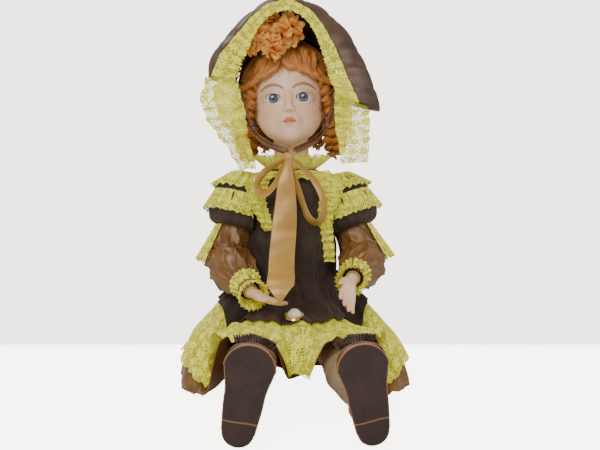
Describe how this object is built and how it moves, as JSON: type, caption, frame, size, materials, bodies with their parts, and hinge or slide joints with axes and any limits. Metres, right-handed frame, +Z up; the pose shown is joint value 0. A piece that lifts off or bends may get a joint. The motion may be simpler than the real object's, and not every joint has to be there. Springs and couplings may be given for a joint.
{
  "type": "porcelain doll",
  "caption": "Seated bisque porcelain doll with turning head and strung limbs, in velvet, satin and lace with a flowered bonnet.",
  "frame": {"origin": "on the seat plane under the neck, in the middle of the torso's flat base between the thighs", "axes": "+Z up from the seat, +X to the doll's left, the doll faces -Y"},
  "size_m": [0.2268, 0.3847, 0.3838],
  "materials": {
    "composition": "matte flesh enamel over composition",
    "elastic": "woven elastic cord",
    "bisque": "satin unglazed bisque, painted",
    "plaster": "dry plaster",
    "cardboard": "pressed card",
    "eye_glass": "blown glass, blue iris",
    "wig_hair": "auburn ringlets",
    "bonnet_satin": "dark olive-brown satin",
    "lace": "yellow cotton lace",
    "petal_silk": "orange silk petals",
    "gold_ribbon": "gold-brown satin",
    "velvet": "dark brown silk velvet",
    "skirt_satin": "gold-brown satin",
    "shirt_button": "polished",
    "pearl": "pearl lustre",
    "gilt": "gilt brass",
    "steel_wire": "steel wire",
    "bead_glass": "blue glass bead",
    "stocking_knit": "cream cotton knit",
    "shoe_leather": "brown leather",
    "sole_leather": "dark pressed leather",
    "rosette_ribbon": "dark brown grosgrain"
  },
  "bodies": {
    "torso": {"torso": "composition", "arm_elastic": "elastic", "leg_elastic": "elastic", "dress_bodice": "velvet", "back_buttons": "shirt_button", "collar_lace": "lace", "bodice_lace": "lace", "overskirt": "velvet", "lace_flounce": "lace", "underskirt": "skirt_satin", "brooch_pearl": "pearl", "brooch_setting": "gilt", "ribbon_bow": "gold_ribbon", "ribbon_tail": "gold_ribbon"},
    "neck_swivel": {"neck_hook": "steel_wire", "neck_button": "composition"},
    "head": {"head_shell": "bisque", "eye_left": "eye_glass", "eye_right": "eye_glass", "eye_plaster": "plaster", "pate": "cardboard", "wig": "wig_hair", "earring_left": "bead_glass", "earring_right": "bead_glass", "bonnet_brim": "bonnet_satin", "bonnet_crown": "bonnet_satin", "bonnet_lace": "lace", "lappet_left": "lace", "lappet_right": "lace", "flower_spray": "petal_silk", "chin_ribbon": "gold_ribbon"},
    "upper_arm_left": {"upper_arm_left": "composition", "sleeve_puff_left": "velvet", "sleeve_lace_left": "lace"},
    "elbow_left": {"elbow_ball_left": "composition"},
    "forearm_left": {"forearm_left": "composition", "satin_sleeve_left": "skirt_satin", "cuff_lace_left": "lace"},
    "hand_left": {"hand_left": "bisque"},
    "thigh_left": {"thigh_left": "composition"},
    "shin_left": {"shin_left": "composition", "stocking_left": "stocking_knit", "shoe_upper_left": "shoe_leather", "shoe_sole_left": "sole_leather", "shoe_rosette_left": "rosette_ribbon"},
    "upper_arm_right": {"upper_arm_right": "composition", "sleeve_puff_right": "velvet", "sleeve_lace_right": "lace"},
    "elbow_right": {"elbow_ball_right": "composition"},
    "forearm_right": {"forearm_right": "composition", "satin_sleeve_right": "skirt_satin", "cuff_lace_right": "lace"},
    "hand_right": {"hand_right": "bisque"},
    "thigh_right": {"thigh_right": "composition"},
    "shin_right": {"shin_right": "composition", "stocking_right": "stocking_knit", "shoe_upper_right": "shoe_leather", "shoe_sole_right": "sole_leather", "shoe_rosette_right": "rosette_ribbon"}
  },
  "joints": [
    {"name": "head_turn", "type": "hinge", "parent": "torso", "child": "neck_swivel", "pos_m": [0, 0.002, 0.222], "axis": [0, 0, 1], "range_deg": [-25, 25]},
    {"name": "head_nod", "type": "hinge", "parent": "neck_swivel", "child": "head", "pos_m": [0, 0.002, 0.222], "axis": [1, 0, 0], "range_deg": [-8, 4]},
    {"name": "shoulder_left_swing", "type": "hinge", "parent": "torso", "child": "upper_arm_left", "pos_m": [0.048, 0.006, 0.188], "axis": [-1, 0, 0], "range_deg": [0, 50]},
    {"name": "elbow_left_twist", "type": "hinge", "parent": "upper_arm_left", "child": "elbow_left", "pos_m": [0.075, -0.008, 0.118], "axis": [-0.3538, 0.1834, 0.9172], "range_deg": [0, 36]},
    {"name": "elbow_left_bend", "type": "hinge", "parent": "elbow_left", "child": "forearm_left", "pos_m": [0.075, -0.008, 0.118], "axis": [-0.8775, 0.2743, -0.3933], "range_deg": [0, 12]},
    {"name": "wrist_left_twist", "type": "hinge", "parent": "forearm_left", "child": "hand_left", "pos_m": [0.05581, -0.08679, 0.10588], "axis": [-0.2341, -0.9609, -0.1478], "range_deg": [-15, 15]},
    {"name": "hip_left_swing", "type": "hinge", "parent": "torso", "child": "thigh_left", "pos_m": [0.027, -0.008, 0.036], "axis": [1, 0, 0], "range_deg": [0, 85]},
    {"name": "knee_left_bend", "type": "hinge", "parent": "thigh_left", "child": "shin_left", "pos_m": [0.03753, -0.12151, 0.036], "axis": [1, 0, 0], "range_deg": [0, 80]},
    {"name": "shoulder_right_swing", "type": "hinge", "parent": "torso", "child": "upper_arm_right", "pos_m": [-0.048, 0.006, 0.188], "axis": [-1, 0, 0], "range_deg": [0, 50], "deforming": ["ribbon_tail"]},
    {"name": "elbow_right_twist", "type": "hinge", "parent": "upper_arm_right", "child": "elbow_right", "pos_m": [-0.068, -0.008, 0.118], "axis": [-0.2698, -0.1888, -0.9442], "range_deg": [0, 36]},
    {"name": "elbow_right_bend", "type": "hinge", "parent": "elbow_right", "child": "forearm_right", "pos_m": [-0.068, -0.008, 0.118], "axis": [-0.8573, -0.3994, 0.3248], "range_deg": [0, 12]},
    {"name": "wrist_right_twist", "type": "hinge", "parent": "forearm_right", "child": "hand_right", "pos_m": [-0.043, -0.08199, 0.093], "axis": [0.3048, -0.9023, -0.3048], "range_deg": [-15, 15]},
    {"name": "hip_right_swing", "type": "hinge", "parent": "torso", "child": "thigh_right", "pos_m": [-0.027, -0.008, 0.036], "axis": [1, 0, 0], "range_deg": [0, 85]},
    {"name": "knee_right_bend", "type": "hinge", "parent": "thigh_right", "child": "shin_right", "pos_m": [-0.03753, -0.12151, 0.036], "axis": [1, 0, 0], "range_deg": [0, 80]}
  ]
}
